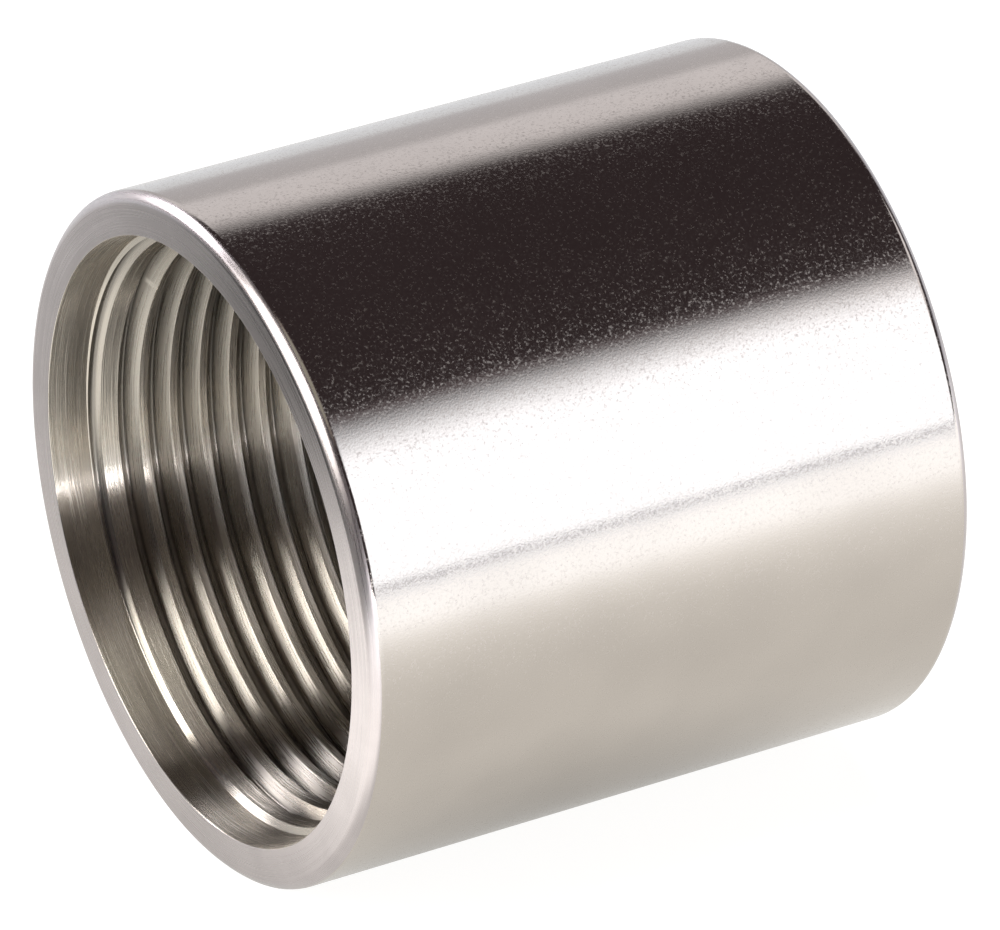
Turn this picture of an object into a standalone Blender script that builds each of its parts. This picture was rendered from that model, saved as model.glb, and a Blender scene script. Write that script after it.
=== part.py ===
"""A plain full pipe coupling with a G 1 1/4 thread from end to end, lying on its side.

The coupling is one turned and tapped body of stainless steel. Its bore runs along X, and the
origin is the middle of the bore. Metres, +Z up.
"""

import math

import bmesh
import bpy

# Driving dimensions of the turned body.
LENGTH = 0.0460
OUTER_DIAMETER = 0.0483
OUTER_CHAMFER = 0.0006  # at 45 degrees, on both end faces

# Driving dimensions of each mouth, which is the same at both ends.
MOUTH_DIAMETER = 0.0423  # where the bore breaks through the end face
MOUTH_TAPER_DEPTH = 0.0013
RECESS_DIAMETER = 0.0420  # clears the pipe's thread
RECESS_DEPTH = 0.0029
SHOULDER_HALF_ANGLE = math.radians(60)  # the steep cone that ends the recess
LEAD_IN_DIAMETER = 0.0410  # where the shoulder meets the slight cone that thins the first crests
LEAD_IN_HALF_ANGLE = math.radians(14)

# Driving dimensions of the thread: G 1 1/4, right-handed and parallel.
THREAD_PITCH = 0.0254 / 11
THREAD_MAJOR_DIAMETER = 0.04191
THREAD_MINOR_DIAMETER = 0.0393  # bored before tapping, so it sets how wide the flat crests are
THREAD_HALF_ANGLE = math.radians(27.5)
THREAD_ROOT_FLAT = THREAD_PITCH / 6
THREAD_CREST_FROM_FACE = 0.00198  # from the -X end face to the thread's crest, on the +Y side

# Flat facets round the axis. With a multiple of 4, the body keeps its full diameter along Y and Z.
FACETS = 48
SHARP_ANGLE = math.radians(20)

PILOT_BORE_CLEARANCE = 0.0006  # how far inside the minor radius the bore lies before the cut

STAINLESS_COLOUR = (0.60, 0.57, 0.54, 1.0)
STAINLESS_ROUGHNESS = 0.32


def clear_scene():
    for old in list(bpy.data.objects):
        bpy.data.objects.remove(old, do_unlink=True)


def steel_material():
    steel = bpy.data.materials.new("ground_stainless_steel")
    steel.use_nodes = True
    surface = steel.node_tree.nodes["Principled BSDF"]
    surface.inputs["Base Color"].default_value = STAINLESS_COLOUR
    surface.inputs["Metallic"].default_value = 1.0
    surface.inputs["Roughness"].default_value = STAINLESS_ROUGHNESS
    return steel


def object_from_bmesh(name, shape):
    """A smooth-shaded object with creases kept sharp, made from a closed bmesh."""
    bmesh.ops.recalc_face_normals(shape, faces=shape.faces)
    mesh = bpy.data.meshes.new(name)
    shape.to_mesh(mesh)
    shape.free()
    mesh.shade_smooth()
    mesh.set_sharp_from_angle(angle=SHARP_ANGLE)
    made = bpy.data.objects.new(name, mesh)
    bpy.context.scene.collection.objects.link(made)
    return made


def mouth_profile(pilot_radius):
    """(distance in from the end face, radius) from the outer chamfer round to the pilot bore."""
    outer_radius = OUTER_DIAMETER / 2
    recess_radius = RECESS_DIAMETER / 2
    lead_in_radius = LEAD_IN_DIAMETER / 2
    shoulder_depth = RECESS_DEPTH + (recess_radius - lead_in_radius) / math.tan(SHOULDER_HALF_ANGLE)
    lead_in_length = (lead_in_radius - pilot_radius) / math.tan(LEAD_IN_HALF_ANGLE)
    return [
        (OUTER_CHAMFER, outer_radius),
        (0.0, outer_radius - OUTER_CHAMFER),
        (0.0, MOUTH_DIAMETER / 2),
        (MOUTH_TAPER_DEPTH, recess_radius),
        (RECESS_DEPTH, recess_radius),
        (shoulder_depth, lead_in_radius),
        (shoulder_depth + lead_in_length, pilot_radius),
    ]


def turned_body(name):
    """The body as it leaves the lathe: its closed section is spun round the X axis."""
    pilot_radius = THREAD_MINOR_DIAMETER / 2 - PILOT_BORE_CLEARANCE
    mouth = mouth_profile(pilot_radius)
    near_end = [(-LENGTH / 2 + depth, radius) for depth, radius in mouth]
    far_end = [(LENGTH / 2 - depth, radius) for depth, radius in reversed(mouth)]

    shape = bmesh.new()
    section = [shape.verts.new((x, radius, 0.0)) for x, radius in near_end + far_end]
    edges = [shape.edges.new((a, b)) for a, b in zip(section, section[1:] + section[:1])]
    bmesh.ops.spin(
        shape,
        geom=section + edges,
        cent=(0, 0, 0),
        axis=(1, 0, 0),
        angle=2 * math.pi,
        steps=FACETS,
        use_merge=True,
    )
    return object_from_bmesh(name, shape)


def thread_section():
    """(distance along X from the crest's centre, radius) for one pitch of the internal thread.

    The two flanks and the flat root take their share of the pitch, and the flat crest has the rest.
    """
    root_radius = THREAD_MAJOR_DIAMETER / 2
    crest_radius = THREAD_MINOR_DIAMETER / 2
    flank_length = (root_radius - crest_radius) * math.tan(THREAD_HALF_ANGLE)
    half_crest = (THREAD_PITCH - THREAD_ROOT_FLAT) / 2 - flank_length
    return [
        (-half_crest, crest_radius),
        (half_crest, crest_radius),
        (half_crest + flank_length, root_radius),
        (half_crest + flank_length + THREAD_ROOT_FLAT, root_radius),
    ]


def tap(name):
    """The cutter that makes the thread: a threaded rod, a little longer than the body."""
    section = thread_section()
    turns_before = 2
    turns = math.ceil(LENGTH / THREAD_PITCH) + 2 * turns_before
    start_x = -LENGTH / 2 + THREAD_CREST_FROM_FACE - turns_before * THREAD_PITCH

    shape = bmesh.new()
    columns = []
    for step in range(turns * FACETS + 1):
        angle = 2 * math.pi * step / FACETS
        x = start_x + THREAD_PITCH * step / FACETS
        columns.append(
            [
                shape.verts.new((x + along, radius * math.cos(angle), radius * math.sin(angle)))
                for along, radius in section
            ]
        )
    # Each column of the section meets the next one, and its end meets the start of the column
    # one turn further on.
    for this, following in zip(columns, columns[1:]):
        for low in range(len(section) - 1):
            shape.faces.new((this[low], following[low], following[low + 1], this[low + 1]))
    for step in range((turns - 1) * FACETS):
        shape.faces.new(
            (
                columns[step][-1],
                columns[step + 1][-1],
                columns[step + 1 + FACETS][0],
                columns[step + FACETS][0],
            )
        )
    # Each end closes in a cone to a point on the axis, outside the body.
    reach = LENGTH / 2 + (turns_before + 2) * THREAD_PITCH
    first_turn = [column[0] for column in reversed(columns[: FACETS + 1])] + columns[0][1:]
    last_turn = [column[-1] for column in columns[-FACETS - 1 :]] + columns[-1][-2::-1]
    for rim, tip_x in ((first_turn, -reach), (last_turn, reach)):
        tip = shape.verts.new((tip_x, 0.0, 0.0))
        for a, b in zip(rim, rim[1:] + rim[:1]):
            shape.faces.new((a, b, tip))
    cutter = object_from_bmesh(name, shape)
    cutter.hide_render = True
    cutter.display_type = "WIRE"
    return cutter


def coupling_body():
    body = turned_body("coupling_body")
    body.data.materials.append(steel_material())
    thread = body.modifiers.new("internal_thread", "BOOLEAN")
    thread.operation = "DIFFERENCE"
    thread.solver = "EXACT"
    thread.object = tap("thread_cutter")
    return body


clear_scene()
coupling_body()
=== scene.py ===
"""Looks of the pipe coupling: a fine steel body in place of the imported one, and a plain studio."""

import math
from collections import namedtuple

import bmesh
import bpy
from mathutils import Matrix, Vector


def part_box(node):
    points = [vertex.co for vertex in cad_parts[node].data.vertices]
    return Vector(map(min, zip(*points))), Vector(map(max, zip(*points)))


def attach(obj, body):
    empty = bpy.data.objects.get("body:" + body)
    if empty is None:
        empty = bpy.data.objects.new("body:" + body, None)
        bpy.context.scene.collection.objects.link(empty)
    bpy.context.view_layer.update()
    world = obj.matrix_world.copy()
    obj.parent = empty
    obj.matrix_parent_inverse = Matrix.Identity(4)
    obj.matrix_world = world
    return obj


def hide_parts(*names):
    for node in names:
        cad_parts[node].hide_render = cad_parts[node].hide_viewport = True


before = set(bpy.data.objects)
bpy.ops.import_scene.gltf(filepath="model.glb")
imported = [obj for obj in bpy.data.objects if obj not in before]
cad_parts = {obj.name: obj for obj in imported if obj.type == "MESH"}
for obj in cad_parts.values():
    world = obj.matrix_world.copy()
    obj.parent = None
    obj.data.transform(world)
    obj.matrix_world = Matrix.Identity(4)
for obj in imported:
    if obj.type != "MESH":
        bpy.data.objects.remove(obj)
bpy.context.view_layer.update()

NODE = "coupling_body"
LOW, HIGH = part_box(NODE)
CENTRE = (LOW + HIGH) / 2
HALF_LENGTH = (HIGH.x - LOW.x) / 2
OUTER_RADIUS = (HIGH.z - LOW.z) / 2

# The turned shape, in metres, the same at both ends.
CHAMFER = 0.0006
CHAMFER_ROUND = 0.0007  # radius on the chamfer's two edges, which makes it nearly one curve
MOUTH_RADIUS = 0.02115
MOUTH_TAPER_DEPTH = 0.0013
RECESS_RADIUS = 0.0210
RECESS_DEPTH = 0.0029
SHOULDER_HALF_ANGLE = math.radians(60)
LEAD_IN_RADIUS = 0.0205  # where the shoulder meets the slight cone that thins the first crests
LEAD_IN_HALF_ANGLE = math.radians(14)
CUT_EDGE_ROUND = 0.00008  # radius left on an edge that a tool has cut
BORE_CLEARANCE = 0.0006  # how far inside the crests the bore lies before the thread is cut

# The thread: G 1 1/4, with flat crests and narrow, rounded roots.
PITCH = 0.0254 / 11
MAJOR_RADIUS = 0.04191 / 2
CREST_RADIUS = 0.0393 / 2
THREAD_HALF_ANGLE = math.radians(27.5)
ROOT_FLAT = PITCH / 6
CREST_ROUND = 0.00005
ROOT_ROUND = 0.00016
CREST_FROM_FACE = 0.00198  # from the -X end face to the thread's crest, on the +Y side

FACETS = 240
SHARP_ANGLE = math.radians(40)
LONGEST_CURVE = 0.45  # the share of a stretch that the curve at its corner may take

# Material slots of the piece, in order.
GROUND, TURNED, BORED, THREADED = range(4)


def link(name, data):
    """A new object in the scene for a mesh, a light or a camera."""
    made = bpy.data.objects.new(name, data)
    bpy.context.scene.collection.objects.link(made)
    return made


def object_from_bmesh(name, shape):
    bmesh.ops.recalc_face_normals(shape, faces=shape.faces)
    mesh = bpy.data.meshes.new(name)
    shape.to_mesh(mesh)
    shape.free()
    return link(name, mesh)


def rounded(corners, steps):
    """An open outline with a curve of so many steps at each inner corner.

    A corner is (along, radius from the axis, curve's radius, material of the stretch after it), and
    a point of the result is (along, radius from the axis, material).
    """
    first, last = corners[0], corners[-1]
    points = [(first[0], first[1], first[3])]
    for before, corner, after in zip(corners, corners[1:], corners[2:]):
        here = Vector(corner[:2])
        back = Vector(before[:2]) - here
        ahead = Vector(after[:2]) - here
        turn = math.pi - back.angle(ahead)
        longest = min(back.length, ahead.length) * LONGEST_CURVE
        reach = min(corner[2] * math.tan(turn / 2), longest)
        start = here + back.normalized() * reach
        end = here + ahead.normalized() * reach
        for step in range(steps + 1):
            t = step / steps
            spot = start * (1 - t) ** 2 + here * (2 * t * (1 - t)) + end * t**2
            points.append((spot.x, spot.y, before[3] if t < 0.5 else corner[3]))
    points.append((last[0], last[1], last[3]))
    return points


def end_outline():
    """The outline of one end, from the middle of the outside, over the end face, to the bore."""
    bore_radius = CREST_RADIUS - BORE_CLEARANCE
    shoulder_depth = RECESS_DEPTH + (RECESS_RADIUS - LEAD_IN_RADIUS) / math.tan(SHOULDER_HALF_ANGLE)
    lead_in_length = (LEAD_IN_RADIUS - bore_radius) / math.tan(LEAD_IN_HALF_ANGLE)
    corners = [
        (HALF_LENGTH, OUTER_RADIUS, 0, GROUND),
        (CHAMFER, OUTER_RADIUS, CHAMFER_ROUND, TURNED),
        (0, OUTER_RADIUS - CHAMFER, CHAMFER_ROUND, TURNED),
        (0, MOUTH_RADIUS, CUT_EDGE_ROUND, BORED),
        (MOUTH_TAPER_DEPTH, RECESS_RADIUS, CUT_EDGE_ROUND, BORED),
        (RECESS_DEPTH, RECESS_RADIUS, CUT_EDGE_ROUND, BORED),
        (shoulder_depth, LEAD_IN_RADIUS, CUT_EDGE_ROUND, BORED),
        (shoulder_depth + lead_in_length, bore_radius, CUT_EDGE_ROUND, BORED),
        (HALF_LENGTH, bore_radius, 0, BORED),
    ]
    return rounded(corners, steps=4)


def turned_body():
    """The body as it leaves the lathe: rings of points round the X axis, joined one to the next."""
    near = end_outline()
    outline = [(depth - HALF_LENGTH, radius) for depth, radius, _ in near]
    outline += [(-x, radius) for x, radius in reversed(outline[1:-1])]
    stretches = [material for _, _, material in near[:-1]]
    stretches += reversed(stretches)

    shape = bmesh.new()
    turns = [2 * math.pi * step / FACETS for step in range(FACETS)]
    rings = [
        [shape.verts.new((x, radius * math.cos(turn), radius * math.sin(turn))) for turn in turns]
        for x, radius in outline
    ]
    for ring, following, material in zip(rings, rings[1:] + rings[:1], stretches):
        for step in range(FACETS):
            after = (step + 1) % FACETS
            face = shape.faces.new((ring[step], ring[after], following[after], following[step]))
            face.material_index = material
    return object_from_bmesh("turned_body", shape)


def thread_outline():
    """One pitch of the thread, from the middle of a crest to just before the middle of the next."""
    flank = (MAJOR_RADIUS - CREST_RADIUS) * math.tan(THREAD_HALF_ANGLE)
    half_crest = (PITCH - ROOT_FLAT) / 2 - flank
    corners = [
        (0, CREST_RADIUS, 0, THREADED),
        (half_crest, CREST_RADIUS, CREST_ROUND, THREADED),
        (half_crest + flank, MAJOR_RADIUS, ROOT_ROUND, THREADED),
        (PITCH - half_crest - flank, MAJOR_RADIUS, ROOT_ROUND, THREADED),
        (PITCH - half_crest, CREST_RADIUS, CREST_ROUND, THREADED),
        (PITCH, CREST_RADIUS, 0, THREADED),
    ]
    return rounded(corners, steps=2)[:-1]


def tap():
    """A threaded rod, longer than the body: what it takes away from the body is the thread."""
    outline = thread_outline()
    turns_before = 2
    turns = math.ceil(2 * HALF_LENGTH / PITCH) + 2 * turns_before
    start = -HALF_LENGTH + CREST_FROM_FACE - turns_before * PITCH

    shape = bmesh.new()
    columns = []
    for step in range(turns * FACETS + 1):
        turn = 2 * math.pi * step / FACETS
        x = start + PITCH * step / FACETS
        columns.append([
            shape.verts.new((x + along, radius * math.cos(turn), radius * math.sin(turn)))
            for along, radius, _ in outline
        ])
    for this, following in zip(columns, columns[1:]):
        for low in range(len(outline) - 1):
            shape.faces.new((this[low], following[low], following[low + 1], this[low + 1]))
    # The end of each column meets the start of the column one turn further on.
    for step in range((turns - 1) * FACETS):
        here, after = columns[step], columns[step + 1]
        turn_on, turn_on_after = columns[step + FACETS], columns[step + FACETS + 1]
        shape.faces.new((here[-1], after[-1], turn_on_after[0], turn_on[0]))
    # Each end closes in a cone to a point on the axis, outside the body.
    reach = HALF_LENGTH + (turns_before + 2) * PITCH
    first_turn = [column[0] for column in reversed(columns[: FACETS + 1])] + columns[0][1:]
    last_turn = [column[-1] for column in columns[-FACETS - 1 :]] + columns[-1][-2::-1]
    for rim, tip_x in ((first_turn, -reach), (last_turn, reach)):
        tip = shape.verts.new((tip_x, 0, 0))
        for a, b in zip(rim, rim[1:] + rim[:1]):
            shape.faces.new((a, b, tip))
    for face in shape.faces:
        face.material_index = THREADED
    return object_from_bmesh("tap", shape)


def coupling_steel(materials):
    """The whole coupling: the turned body with the thread cut through it, as one mesh."""
    body = turned_body()
    cutter = tap()
    for made in (body, cutter):
        for material in materials:
            made.data.materials.append(material)
    cut = body.modifiers.new("thread", "BOOLEAN")
    cut.operation = "DIFFERENCE"
    cut.solver = "MANIFOLD"
    cut.object = cutter
    evaluated = body.evaluated_get(bpy.context.evaluated_depsgraph_get())
    mesh = bpy.data.meshes.new_from_object(evaluated)
    bpy.data.objects.remove(body)
    bpy.data.objects.remove(cutter)
    mesh.name = "coupling_steel"
    mesh.shade_smooth()
    mesh.set_sharp_from_angle(angle=SHARP_ANGLE)
    piece = link("coupling_steel", mesh)
    # Large faces keep their own normals, so that the flats of the thread stay flat.
    normals = piece.modifiers.new("flat_faces_stay_flat", "WEIGHTED_NORMAL")
    normals.keep_sharp = True
    return piece


def add(tree, kind, inputs=(), **settings):
    """A new node. inputs are (name or number of the input, value or socket) pairs."""
    node = tree.nodes.new(kind)
    for name, value in settings.items():
        setattr(node, name, value)
    for key, value in inputs:
        if isinstance(value, bpy.types.NodeSocket):
            tree.links.new(value, node.inputs[key])
        else:
            node.inputs[key].default_value = value
    return node


def maths(tree, operation, *values):
    """One step of arithmetic on numbers or sockets."""
    return add(tree, "ShaderNodeMath", enumerate(values), operation=operation).outputs[0]


def remap(tree, value, low, high, to_low=0.0, to_high=1.0):
    """value on a smooth curve from to_low at low to to_high at high, and level beyond them."""
    ends = [("From Min", low), ("From Max", high), ("To Min", to_low), ("To Max", to_high)]
    inputs = [("Value", value)] + ends
    node = add(tree, "ShaderNodeMapRange", inputs, interpolation_type="SMOOTHSTEP")
    return node.outputs["Result"]


def noise(tree, vector, cells, detail=2.0, rough=0.5):
    """Noise from 0 to 1, with so many cells to one unit of vector: a metre, for a position."""
    node = add(
        tree,
        "ShaderNodeTexNoise",
        [("Vector", vector), ("Scale", cells), ("Detail", detail), ("Roughness", rough)],
    )
    return node.outputs["Fac"]


NOISE_LOW, NOISE_HIGH = 0.3, 0.7  # most of a noise's values lie between these


def from_noise(tree, value, low, high):
    """A noise's value brought to run from low to high."""
    return remap(tree, value, NOISE_LOW, NOISE_HIGH, low, high)


class Place:
    """Where a shaded point is, as sockets: its position, that position's parts, and its radius."""

    def __init__(self, tree):
        self.tree = tree
        self.position = add(tree, "ShaderNodeTexCoord").outputs["Object"]
        split = add(tree, "ShaderNodeSeparateXYZ", [("Vector", self.position)])
        self.x, self.y, self.z = split.outputs
        squares = maths(tree, "ADD", maths(tree, "POWER", self.y, 2), maths(tree, "POWER", self.z, 2))
        self.radius = maths(tree, "SQRT", squares)

    def streaks(self, across, finest, length):
        """Noise drawn out round the axis into streaks of this length.

        From one streak to the next, the socket across changes by about the distance finest.
        """
        steps_round = OUTER_RADIUS / length
        round_y, round_z = (
            maths(self.tree, "MULTIPLY", maths(self.tree, "DIVIDE", part, self.radius), steps_round)
            for part in (self.y, self.z)
        )
        steps_across = maths(self.tree, "DIVIDE", across, finest)
        parts = [(0, steps_across), (1, round_y), (2, round_z)]
        node = add(self.tree, "ShaderNodeCombineXYZ", parts)
        return noise(self.tree, node.outputs[0], 1.0)


def bump(tree, height, distance, normal=None):
    """A normal tilted by height, which stands for distance in metres, on top of any other normal."""
    inputs = [("Height", height), ("Distance", distance), ("Strength", 1.0)]
    if normal:
        inputs.append(("Normal", normal))
    return add(tree, "ShaderNodeBump", inputs).outputs["Normal"]


def scaled(tree, colour, level):
    """A colour made lighter or darker by level."""
    node = add(tree, "ShaderNodeVectorMath", [(0, colour), ("Scale", level)], operation="SCALE")
    return node.outputs[0]


def steel(name):
    """A new metal, with its node tree and its shader."""
    material = bpy.data.materials.new(name)
    material.use_nodes = True
    tree = material.node_tree
    shader = tree.nodes["Principled BSDF"]
    shader.inputs["Metallic"].default_value = 1.0
    return material, tree, shader


def set_surface(tree, shader, colour, roughness, normal):
    for name, value in (("Base Color", colour), ("Roughness", roughness), ("Normal", normal)):
        tree.links.new(value, shader.inputs[name])


def marked_round_the_axis(tree, shader):
    """Tool marks run round the axis: they spread a reflection across them and not along them."""
    tangent = add(tree, "ShaderNodeTangent", direction_type="RADIAL", axis="X").outputs["Tangent"]
    tree.links.new(tangent, shader.inputs["Tangent"])
    shader.inputs["Anisotropic"].default_value = 1.0
    shader.inputs["Anisotropic Rotation"].default_value = 0.25


# The outside's finish. Patches, specks, grain and waves are in cells per metre, heights in metres.
GROUND_COLOUR = (0.545, 0.498, 0.452)
GROUND_PATCHES, GROUND_PATCH_TINT = 120, (0.97, 1.03)
GROUND_SPECKS = 5000
SPECK_STARTS, SPECK_FULL = 0.45, 0.77  # how high the noise is at a speck's edge and at its middle
GROUND_ROUGHNESS, SPECK_ROUGHNESS = 0.105, 0.33
GROUND_GRAIN, GRAIN_HEIGHT = 7000, 0.0000034
GROUND_WAVES, WAVE_HEIGHT = 260, 0.000008


def ground_steel():
    """The outside: a satin ground finish, with duller sandy specks and a slight waviness."""
    material, tree, shader = steel("ground_steel")
    place = Place(tree)
    patches = noise(tree, place.position, GROUND_PATCHES)
    specks = noise(tree, place.position, GROUND_SPECKS, detail=1.5, rough=0.6)
    grain = noise(tree, place.position, GROUND_GRAIN, detail=1.5)
    waves = noise(tree, place.position, GROUND_WAVES, detail=1.0)
    set_surface(
        tree,
        shader,
        scaled(tree, GROUND_COLOUR, from_noise(tree, patches, *GROUND_PATCH_TINT)),
        remap(tree, specks, SPECK_STARTS, SPECK_FULL, GROUND_ROUGHNESS, SPECK_ROUGHNESS),
        bump(tree, grain, GRAIN_HEIGHT, bump(tree, waves, WAVE_HEIGHT)),
    )
    return material


# The end faces' finish. A ring's width, length and height are in metres.
TURNED_COLOUR = (0.525, 0.479, 0.472)
TURNED_PATCHES, TURNED_PATCH_TINT = 300, (0.96, 1.04)
TURNED_ROUGHNESS = (0.24, 0.32)
TURNED_RING_WIDTH, TURNED_RING_LENGTH, TURNED_RING_HEIGHT = 0.00016, 0.012, 0.000004


def turned_steel():
    """The end faces and their outer edges, with the fine rings that a lathe tool leaves."""
    material, tree, shader = steel("turned_steel")
    place = Place(tree)
    rings = place.streaks(place.radius, TURNED_RING_WIDTH, TURNED_RING_LENGTH)
    patches = noise(tree, place.position, TURNED_PATCHES)
    set_surface(
        tree,
        shader,
        scaled(tree, TURNED_COLOUR, from_noise(tree, patches, *TURNED_PATCH_TINT)),
        from_noise(tree, rings, *TURNED_ROUGHNESS),
        bump(tree, rings, TURNED_RING_HEIGHT),
    )
    return material


# The recess's finish, with its rings in metres.
BORED_COLOUR = (0.560, 0.518, 0.455)
BORED_TINT = (0.92, 1.04)
BORED_ROUGHNESS = (0.24, 0.28)
BORED_RING_WIDTH, BORED_RING_LENGTH, BORED_RING_HEIGHT = 0.00010, 0.010, 0.00003


def bored_steel():
    """The recess and the cone that leads into the thread."""
    material, tree, shader = steel("bored_steel")
    place = Place(tree)
    rings = place.streaks(place.x, BORED_RING_WIDTH, BORED_RING_LENGTH)
    set_surface(
        tree,
        shader,
        scaled(tree, BORED_COLOUR, from_noise(tree, rings, *BORED_TINT)),
        from_noise(tree, rings, *BORED_ROUGHNESS),
        bump(tree, rings, BORED_RING_HEIGHT),
    )
    marked_round_the_axis(tree, shader)
    return material


# The thread's finish, with its streaks in metres. Beyond a radius, painted shade darkens its roots.
THREAD_COLOUR = (0.515, 0.475, 0.420)
THREAD_TINT = (0.9, 1.05)
THREAD_ROUGHNESS = (0.26, 0.30)
STREAK_WIDTH, STREAK_LENGTH, STREAK_HEIGHT = 0.00014, 0.006, 0.00001
FLANK_SLANT = 1.7  # how much faster a streak's place changes with radius than with x
ROOT_SHADE_STARTS_RADIUS, ROOT_SHADE_FULL_RADIUS = 0.0206, 0.0209
ROOT_SHADE_LEVEL = 0.5


def threaded_steel():
    """The cut thread, with streaks from the tap's teeth along its flanks, and painted shade in its
    roots.
    """
    material, tree, shader = steel("threaded_steel")
    place = Place(tree)
    down_the_flank = maths(tree, "ADD", place.x, maths(tree, "MULTIPLY", place.radius, FLANK_SLANT))
    streaks = place.streaks(down_the_flank, STREAK_WIDTH, STREAK_LENGTH)
    colour = scaled(tree, THREAD_COLOUR, from_noise(tree, streaks, *THREAD_TINT))
    # Painted shade: the colour darkens towards the thread's roots, where shade falls between the
    # flanks.
    root_shade = remap(tree, place.radius, ROOT_SHADE_STARTS_RADIUS, ROOT_SHADE_FULL_RADIUS, 1.0, ROOT_SHADE_LEVEL)
    set_surface(
        tree,
        shader,
        scaled(tree, colour, root_shade),
        from_noise(tree, streaks, *THREAD_ROUGHNESS),
        bump(tree, streaks, STREAK_HEIGHT),
    )
    marked_round_the_axis(tree, shader)
    return material


def towards(azimuth, elevation):
    """The unit vector for a direction in degrees: 0 is straight in front (-Y), and 90 is +X."""
    turn, rise = math.radians(azimuth), math.radians(elevation)
    return Vector((math.sin(turn) * math.cos(rise), -math.cos(turn) * math.cos(rise), math.sin(rise)))


def angle_from(tree, direction, other):
    """The angle in degrees between two directions, the first of them a socket."""
    node = add(tree, "ShaderNodeVectorMath", [(0, direction), (1, other)], operation="DOT_PRODUCT")
    cosine = maths(tree, "MINIMUM", node.outputs["Value"], 1.0)
    return maths(tree, "DEGREES", maths(tree, "ARCCOSINE", cosine))


def inside(tree, value, edge, soft):
    """1 below edge and 0 above it, with a smooth change over soft."""
    return remap(tree, value, edge - soft / 2, edge + soft / 2, 1.0, 0.0)


def blended(tree, share, first, second):
    """The first colour where share is 0 and the second where it is 1."""
    # A mix node has three sets of inputs: 6 and 7 are the two colours, and output 2 is their mix.
    node = add(tree, "ShaderNodeMix", [(0, share), (6, first), (7, second)], data_type="RGBA")
    return node.outputs[2]


def camera_sees(tree, to_camera, to_steel, output):
    """The camera sees one shader, and everything that the steel mirrors is the other."""
    is_camera = add(tree, "ShaderNodeLightPath").outputs["Is Camera Ray"]
    mix = add(tree, "ShaderNodeMixShader", [(0, is_camera)])
    tree.links.new(to_steel.outputs[0], mix.inputs[1])
    tree.links.new(to_camera.outputs[0], mix.inputs[2])
    tree.links.new(mix.outputs[0], tree.nodes[output].inputs["Surface"])


# What the steel mirrors of the floor, as a glow with painted light and shade. Painted shade lies
# close under the coupling, and painted light grows brighter towards the lamps in front and by the -X
# mouth. On that side it ends at a straight edge, with painted darkness of the room beyond. Near the
# coupling its colour is warmer, a painted tint of warm light. Distances run from the point under the
# middle of the coupling, in metres, and angles are in degrees.
FLOOR_UNDER = 0.58
FLOOR_NEAR = 0.92
SHADE_FROM, SHADE_TO = 0.012, 0.032
FRONT_GAIN = 1.0
FRONT_GAIN_FROM, FRONT_GAIN_TO = 0.03, 0.22
FRONT_STARTS_Y, FRONT_FULL_Y = 0.03, -0.06
MOUTH_GAIN = 0.85
MOUTH_AZIMUTH = -75
MOUTH_HALF_WIDTH = 46
MOUTH_SOFTNESS = 20
MOUTH_STARTS_X, MOUTH_FULL_X = -0.028, -0.040
EDGE_DISTANCE = 0.070
EDGE_SOFTNESS = 0.012
EDGE_FACES_AZIMUTH = -125
EDGE_SECTOR_AZIMUTH = -85
EDGE_SECTOR_HALF_WIDTH = 56
EDGE_SECTOR_SOFTNESS = 12
PAST_EDGE_LOSS = 0.95
NEAR_FLOOR_COLOUR = (1.0, 0.99, 0.96, 1)
FAR_FLOOR_COLOUR = (0.97, 1.0, 1.05, 1)


def mirrored_floor(tree):
    """The floor as the steel mirrors it: a glow with painted shade and painted light."""
    position = add(tree, "ShaderNodeTexCoord").outputs["Object"]
    x, y, _ = add(tree, "ShaderNodeSeparateXYZ", [(0, position)]).outputs
    distance = add(tree, "ShaderNodeVectorMath", [(0, position)], operation="LENGTH").outputs["Value"]
    way = add(tree, "ShaderNodeVectorMath", [(0, position)], operation="NORMALIZE").outputs[0]

    # Painted shadow: the glow is dimmer close under the coupling.
    level = remap(tree, distance, SHADE_FROM, SHADE_TO, FLOOR_UNDER, FLOOR_NEAR)
    far_enough = remap(tree, distance, FRONT_GAIN_FROM, FRONT_GAIN_TO)
    # Painted light: the glow grows brighter towards the lamps in front.
    in_front = remap(tree, y, FRONT_STARTS_Y, FRONT_FULL_Y, 0.0, FRONT_GAIN)
    level = maths(tree, "ADD", level, maths(tree, "MULTIPLY", far_enough, in_front))

    from_mouth = angle_from(tree, way, towards(MOUTH_AZIMUTH, 0))
    in_line = inside(tree, from_mouth, MOUTH_HALF_WIDTH, MOUTH_SOFTNESS)
    past_mouth = remap(tree, x, MOUTH_STARTS_X, MOUTH_FULL_X, 0.0, MOUTH_GAIN)
    level = maths(tree, "ADD", level, maths(tree, "MULTIPLY", in_line, past_mouth))

    faces = towards(EDGE_FACES_AZIMUTH, 0)
    reach = add(tree, "ShaderNodeVectorMath", [(0, position), (1, faces)], operation="DOT_PRODUCT")
    before_edge = inside(tree, reach.outputs["Value"], EDGE_DISTANCE, EDGE_SOFTNESS)
    from_sector = angle_from(tree, way, towards(EDGE_SECTOR_AZIMUTH, 0))
    in_sector = inside(tree, from_sector, EDGE_SECTOR_HALF_WIDTH, EDGE_SECTOR_SOFTNESS)
    past_edge = maths(tree, "MULTIPLY", in_sector, maths(tree, "SUBTRACT", 1.0, before_edge))
    lost = maths(tree, "MULTIPLY", past_edge, PAST_EDGE_LOSS)
    level = maths(tree, "MULTIPLY", level, maths(tree, "SUBTRACT", 1.0, lost))
    # Painted warm light: the glow's colour is warmer near the coupling.
    colour = blended(tree, far_enough, NEAR_FLOOR_COLOUR, FAR_FLOOR_COLOUR)
    return add(tree, "ShaderNodeEmission", [("Color", colour), ("Strength", level)])


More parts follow.
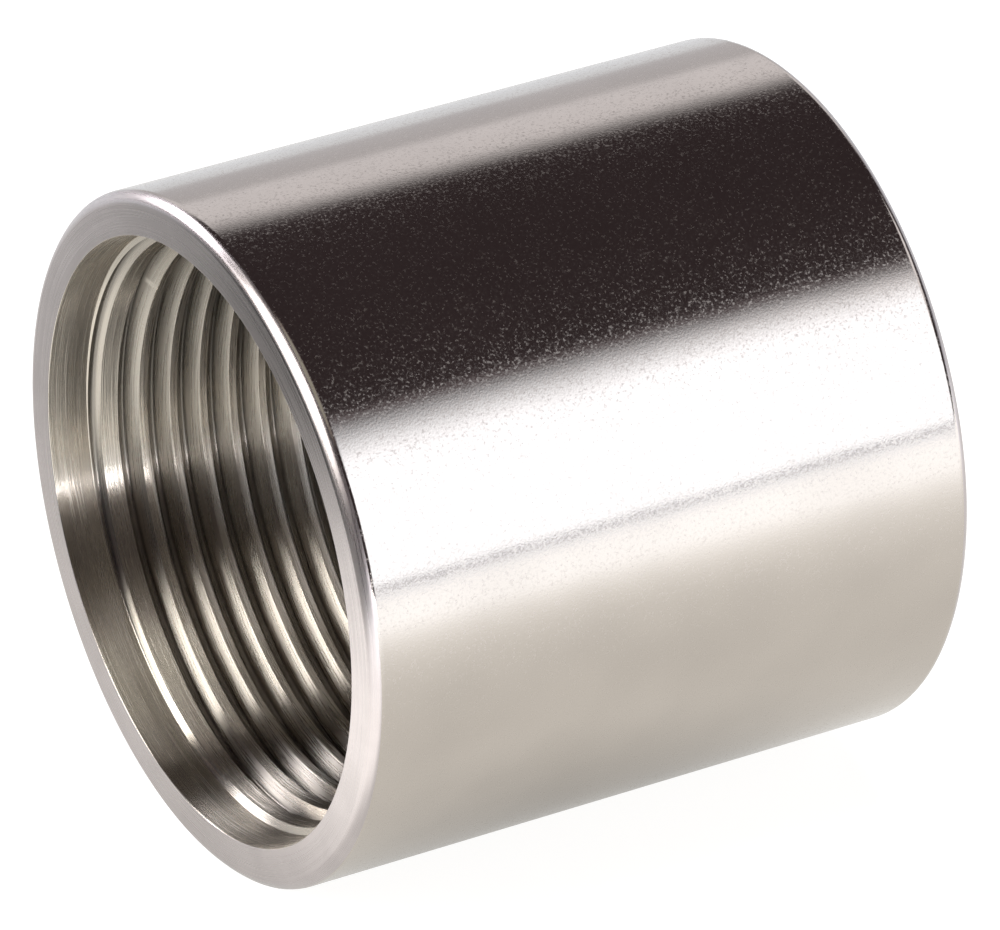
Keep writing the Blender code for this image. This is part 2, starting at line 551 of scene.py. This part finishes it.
FLOOR_HALF_SIZE = 3.0
FLOOR_GREY = (0.22, 0.22, 0.22, 1)
FLOOR_GLOW_COLOUR = (1.0, 0.995, 0.985, 1)
FLOOR_GLOW = 0.92


def floor():
    """A plain white floor, lit evenly. Only the steel sees how its brightness falls off, as painted
    shade and light in its glow.
    """
    shape = bmesh.new()
    bmesh.ops.create_grid(shape, x_segments=1, y_segments=1, size=FLOOR_HALF_SIZE)
    made = object_from_bmesh("floor", shape)
    made.location.z = LOW.z
    paint = bpy.data.materials.new("floor_paint")
    paint.use_nodes = True
    tree = paint.node_tree
    shader = tree.nodes["Principled BSDF"]
    shader.inputs["Base Color"].default_value = FLOOR_GREY
    shader.inputs["Roughness"].default_value = 1.0
    shader.inputs["Specular IOR Level"].default_value = 0.0
    shader.inputs["Emission Color"].default_value = FLOOR_GLOW_COLOUR
    shader.inputs["Emission Strength"].default_value = FLOOR_GLOW
    camera_sees(tree, shader, mirrored_floor(tree), "Material Output")
    made.data.materials.append(paint)


WHITE = (1.02, 1.0, 1.05, 1)
COOL = (0.95, 1.0, 1.10, 1)
WARM = (1.02, 1.0, 0.97, 1)
CREAM = (1.02, 1.0, 0.88, 1)

# The studio's soft panels, in degrees. Each has its middle azimuth, half its width and how soft its
# sides are, then its lowest and highest elevation, each with its softness, and its brightness.
Panel = namedtuple("Panel", "azimuth half_width side_soft low low_soft high high_soft level colour")
PANELS = [
    Panel(14, 36, 12, -2, 1, 2.1, 0.3, 1.7, COOL),  # a strip on the horizon, in front on the right
    Panel(-18, 20, 10, -2, 1, 1.2, 0.6, 20.0, WHITE),  # a thin bright one, in front on the left
    Panel(28, 17, 8, 3.3, 0.3, 45, 17, 2.2, COOL),  # the large softbox in front on the right
    Panel(66, 22, 10, 27, 4, 45, 8, 1.2, WHITE),  # a softbox high up on the right
    Panel(165, 56, 20, -5, 4, 24, 14, 0.64, WHITE),  # the sweep behind
    Panel(160, 46, 14, 14, 6, 34, 11, 0.95, WHITE),  # a panel above it
    Panel(-105, 13, 4, 3, 3, 24, 6, 2.2, WARM),  # the lower part of the left softbox
    Panel(-96, 21, 4, 19, 4, 42, 8, 10.0, WARM),  # its upper part, which lights the thread
    Panel(-153, 10, 3, 14, 4, 35, 4, 11.0, WHITE),  # a lamp behind on the left
]
COLOUR_HOLDS_TO = 0.2  # a panel keeps its own colour until its soft edge has faded to this share

# A round lamp overhead, in degrees, and the room that all of these lamps hang in.
OVERHEAD_AZIMUTH = -20
OVERHEAD_ELEVATION = 72
OVERHEAD_RADIUS = 20
OVERHEAD_SOFTNESS = 12
OVERHEAD_LEVEL = 0.45
ROOM_LEVEL = 0.034
ROOM_COLOUR = (1.3, 0.96, 1.06, 1)
BACKDROP_COLOUR = (0.98, 0.98, 0.975, 1)


def studio_world():
    """A dark room with soft panels for the steel to mirror, and a pale backdrop for the camera."""
    world = bpy.data.worlds.new("studio")
    bpy.context.scene.world = world
    world.use_nodes = True
    tree = world.node_tree
    direction = add(tree, "ShaderNodeTexCoord").outputs["Generated"]
    x, y, z = add(tree, "ShaderNodeSeparateXYZ", [(0, direction)]).outputs
    elevation = maths(tree, "DEGREES", maths(tree, "ARCSINE", z))
    depression = maths(tree, "MULTIPLY", elevation, -1.0)
    flat = add(tree, "ShaderNodeCombineXYZ", [(0, x), (1, y)]).outputs[0]
    bearing = add(tree, "ShaderNodeVectorMath", [(0, flat)], operation="NORMALIZE").outputs[0]

    from_overhead = angle_from(tree, direction, towards(OVERHEAD_AZIMUTH, OVERHEAD_ELEVATION))
    overhead = inside(tree, from_overhead, OVERHEAD_RADIUS, OVERHEAD_SOFTNESS)
    level = maths(tree, "MAXIMUM", maths(tree, "MULTIPLY", overhead, OVERHEAD_LEVEL), ROOM_LEVEL)
    colour = blended(tree, overhead, ROOM_COLOUR, CREAM)
    for panel in PANELS:
        aside = angle_from(tree, bearing, towards(panel.azimuth, 0))
        mask = maths(
            tree,
            "MULTIPLY",
            inside(tree, depression, -panel.low, panel.low_soft),
            inside(tree, elevation, panel.high, panel.high_soft),
        )
        mask = maths(tree, "MULTIPLY", mask, inside(tree, aside, panel.half_width, panel.side_soft))
        level = maths(tree, "MAXIMUM", level, maths(tree, "MULTIPLY", mask, panel.level))
        colour = blended(tree, remap(tree, mask, 0.0, COLOUR_HOLDS_TO), colour, panel.colour)
    mirrored = add(tree, "ShaderNodeBackground", [("Color", colour), ("Strength", level)])
    backdrop = tree.nodes["Background"]
    backdrop.inputs["Color"].default_value = BACKDROP_COLOUR
    camera_sees(tree, backdrop, mirrored, "World Output")


FLOOR_LIGHT = 2.0
FLOOR_LIGHT_SPREAD = math.radians(40)


def floor_light():
    """Lifts the floor to white. The steel doesn't mirror it, so it leaves no highlight."""
    light = bpy.data.lights.new("floor_light", "SUN")
    light.energy = FLOOR_LIGHT
    light.angle = FLOOR_LIGHT_SPREAD
    lamp = link("floor_light", light)
    lamp.visible_glossy = False


# The camera: where it stands, as seen from the coupling, and how far off the middle it aims.
CAMERA_AZIMUTH = -30.05
CAMERA_ELEVATION = 29.2
CAMERA_DISTANCE = 0.6895
LENS = 366.3
SENSOR_WIDTH = 36.0
AIM_RIGHT = 0.00038
AIM_DOWN = 0.00039


def camera():
    """A long lens, from in front on the left and above."""
    back = towards(CAMERA_AZIMUTH, CAMERA_ELEVATION)
    right = towards(CAMERA_AZIMUTH + 90, 0)
    up = back.cross(right)
    data = bpy.data.cameras.new("camera")
    data.lens = LENS
    data.sensor_width = SENSOR_WIDTH
    made = link("camera", data)
    made.location = CENTRE + right * AIM_RIGHT - up * AIM_DOWN + back * CAMERA_DISTANCE
    made.rotation_euler = back.to_track_quat("Z", "Y").to_euler()
    bpy.context.scene.camera = made


piece = coupling_steel([ground_steel(), turned_steel(), bored_steel(), threaded_steel()])
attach(piece, "root")
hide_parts(NODE)
floor()
studio_world()
floor_light()
camera()
bpy.context.scene.view_settings.view_transform = "Standard"

bpy.context.view_layer.update()
